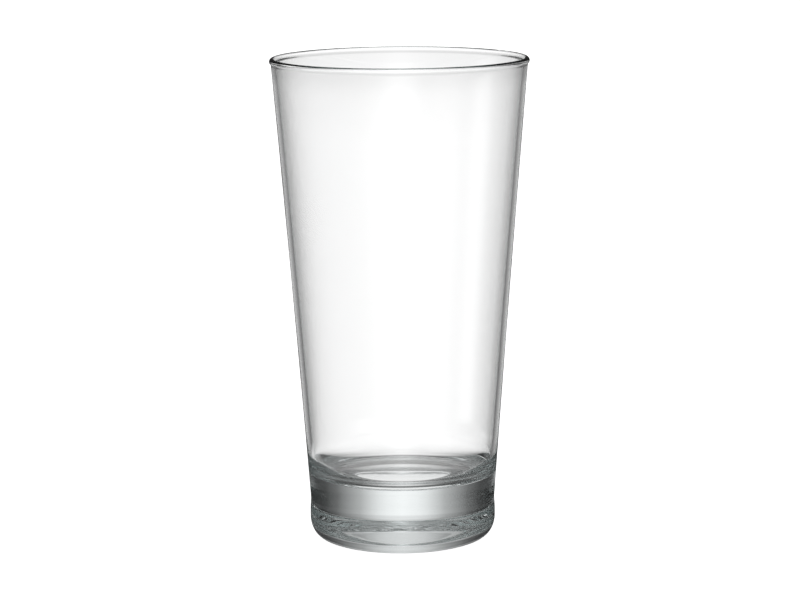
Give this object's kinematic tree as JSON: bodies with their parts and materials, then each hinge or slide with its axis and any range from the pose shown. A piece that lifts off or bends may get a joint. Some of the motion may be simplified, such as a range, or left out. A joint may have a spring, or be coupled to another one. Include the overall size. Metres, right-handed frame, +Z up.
{
  "type": "mixing glass",
  "caption": "Tall tapered bar mixing glass in clear pressed glass, with a rounded rim bead, a thick solid base and a rounded heel.",
  "frame": {"origin": "on the axis of the glass, in the plane of the bearing ring it stands on", "axes": "+Z up along the axis of the glass, from the bearing ring to the rim; X and Y are equivalent"},
  "size_m": [0.09, 0.09, 0.1694],
  "materials": {
    "clear_glass": "clear colourless soda-lime glass, fire-polished, faintly grey-green where it is thick"
  },
  "bodies": {
    "root": {"glass_body": "clear_glass"}
  },
  "joints": []
}
